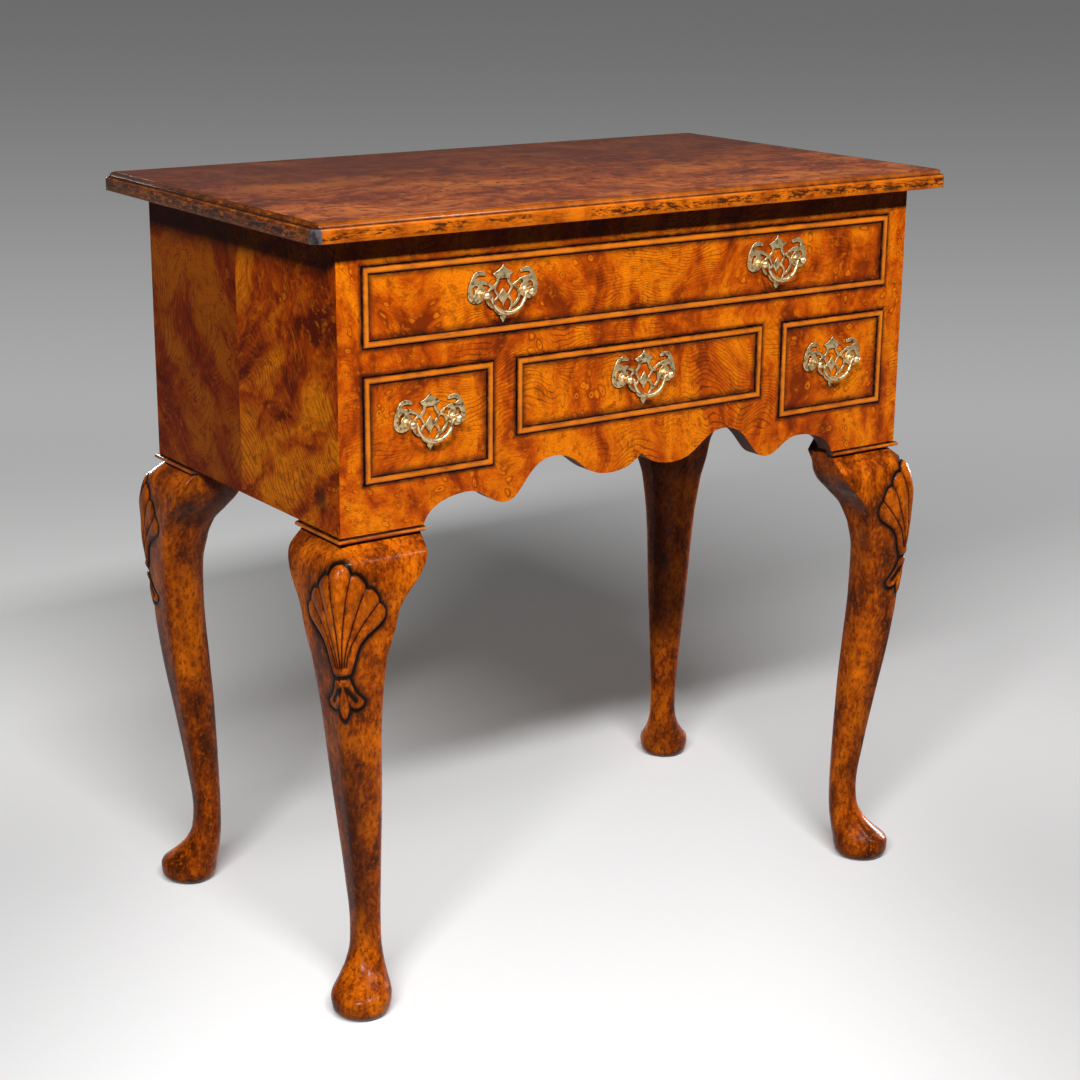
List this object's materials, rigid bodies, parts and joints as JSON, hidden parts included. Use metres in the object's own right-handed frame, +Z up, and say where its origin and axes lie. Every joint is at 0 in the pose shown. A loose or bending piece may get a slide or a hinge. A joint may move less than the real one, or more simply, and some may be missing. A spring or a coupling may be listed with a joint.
{
  "type": "lowboy",
  "caption": "Lowboy: small veneered chest on four cabriole legs, one long drawer over small drawers, shaped apron, pierced brass bail handles",
  "frame": {"origin": "on the floor, under the middle of the whole piece's width and depth", "axes": "+Z up, the front looks along -Y, +X to the right of a person who faces the front"},
  "size_m": [0.768, 0.446, 0.7878],
  "materials": {
    "burr_top": "polished burr veneer",
    "edge_wood": "polished, dark in the hollows",
    "side_veneer": "polished red-brown veneer",
    "front_veneer": "polished amber burr veneer",
    "leg_wood": "polished, mottled",
    "bead_wood": "polished moulding",
    "inner_wood": "plain, unpolished",
    "brass": "aged brass"
  },
  "bodies": {
    "carcase": {"top_panel": "burr_top", "top_edge_moulding": "edge_wood", "side_panel_left": "side_veneer", "side_panel_right": "side_veneer", "back_panel": "inner_wood", "front_stile_left": "front_veneer", "front_stile_right": "front_veneer", "drawer_divider_left": "front_veneer", "drawer_divider_right": "front_veneer", "top_rail": "front_veneer", "mid_rail": "front_veneer", "apron": "front_veneer", "dust_board": "inner_wood", "side_runner_left": "inner_wood", "side_runner_right": "inner_wood", "centre_runner_left": "inner_wood", "centre_runner_right": "inner_wood", "leg_front_left": "leg_wood", "leg_collar_front_left": "bead_wood", "leg_front_right": "leg_wood", "leg_collar_front_right": "bead_wood", "leg_back_left": "leg_wood", "leg_collar_back_left": "bead_wood", "leg_back_right": "leg_wood", "leg_collar_back_right": "bead_wood"},
    "long_drawer_left_bail": {"long_drawer_left_bail": "brass"},
    "long_drawer_right_bail": {"long_drawer_right_bail": "brass"},
    "long_drawer": {"long_drawer_front": "front_veneer", "long_drawer_bead": "bead_wood", "long_drawer_side_left": "inner_wood", "long_drawer_side_right": "inner_wood", "long_drawer_back": "inner_wood", "long_drawer_bottom": "inner_wood", "long_drawer_left_handle_plate": "brass", "long_drawer_right_handle_plate": "brass"},
    "left_drawer_bail": {"left_drawer_bail": "brass"},
    "left_drawer": {"left_drawer_front": "front_veneer", "left_drawer_bead": "bead_wood", "left_drawer_side_left": "inner_wood", "left_drawer_side_right": "inner_wood", "left_drawer_back": "inner_wood", "left_drawer_bottom": "inner_wood", "left_drawer_handle_plate": "brass"},
    "centre_drawer_bail": {"centre_drawer_bail": "brass"},
    "centre_drawer": {"centre_drawer_front": "front_veneer", "centre_drawer_bead": "bead_wood", "centre_drawer_side_left": "inner_wood", "centre_drawer_side_right": "inner_wood", "centre_drawer_back": "inner_wood", "centre_drawer_bottom": "inner_wood", "centre_drawer_handle_plate": "brass"},
    "right_drawer_bail": {"right_drawer_bail": "brass"},
    "right_drawer": {"right_drawer_front": "front_veneer", "right_drawer_bead": "bead_wood", "right_drawer_side_left": "inner_wood", "right_drawer_side_right": "inner_wood", "right_drawer_back": "inner_wood", "right_drawer_bottom": "inner_wood", "right_drawer_handle_plate": "brass"}
  },
  "joints": [
    {"name": "long_drawer_slide", "type": "slide", "parent": "carcase", "child": "long_drawer", "axis": [0, -1, 0], "range_m": [0, 0.3]},
    {"name": "left_drawer_slide", "type": "slide", "parent": "carcase", "child": "left_drawer", "axis": [0, -1, 0], "range_m": [0, 0.3]},
    {"name": "centre_drawer_slide", "type": "slide", "parent": "carcase", "child": "centre_drawer", "axis": [0, -1, 0], "range_m": [0, 0.3]},
    {"name": "right_drawer_slide", "type": "slide", "parent": "carcase", "child": "right_drawer", "axis": [0, -1, 0], "range_m": [0, 0.3]},
    {"name": "long_drawer_left_bail_swing", "type": "hinge", "parent": "long_drawer", "child": "long_drawer_left_bail", "pos_m": [-0.1692, -0.20573, 0.7053], "axis": [-1, 0, 0], "range_deg": [-20, 160]},
    {"name": "long_drawer_right_bail_swing", "type": "hinge", "parent": "long_drawer", "child": "long_drawer_right_bail", "pos_m": [0.1692, -0.20573, 0.7053], "axis": [-1, 0, 0], "range_deg": [-20, 160]},
    {"name": "left_drawer_bail_swing", "type": "hinge", "parent": "left_drawer", "child": "left_drawer_bail", "pos_m": [-0.25095, -0.20573, 0.5924], "axis": [-1, 0, 0], "range_deg": [-20, 160]},
    {"name": "centre_drawer_bail_swing", "type": "hinge", "parent": "centre_drawer", "child": "centre_drawer_bail", "pos_m": [0, -0.20573, 0.60515], "axis": [-1, 0, 0], "range_deg": [-20, 160]},
    {"name": "right_drawer_bail_swing", "type": "hinge", "parent": "right_drawer", "child": "right_drawer_bail", "pos_m": [0.25095, -0.20573, 0.5924], "axis": [-1, 0, 0], "range_deg": [-20, 160]}
  ]
}
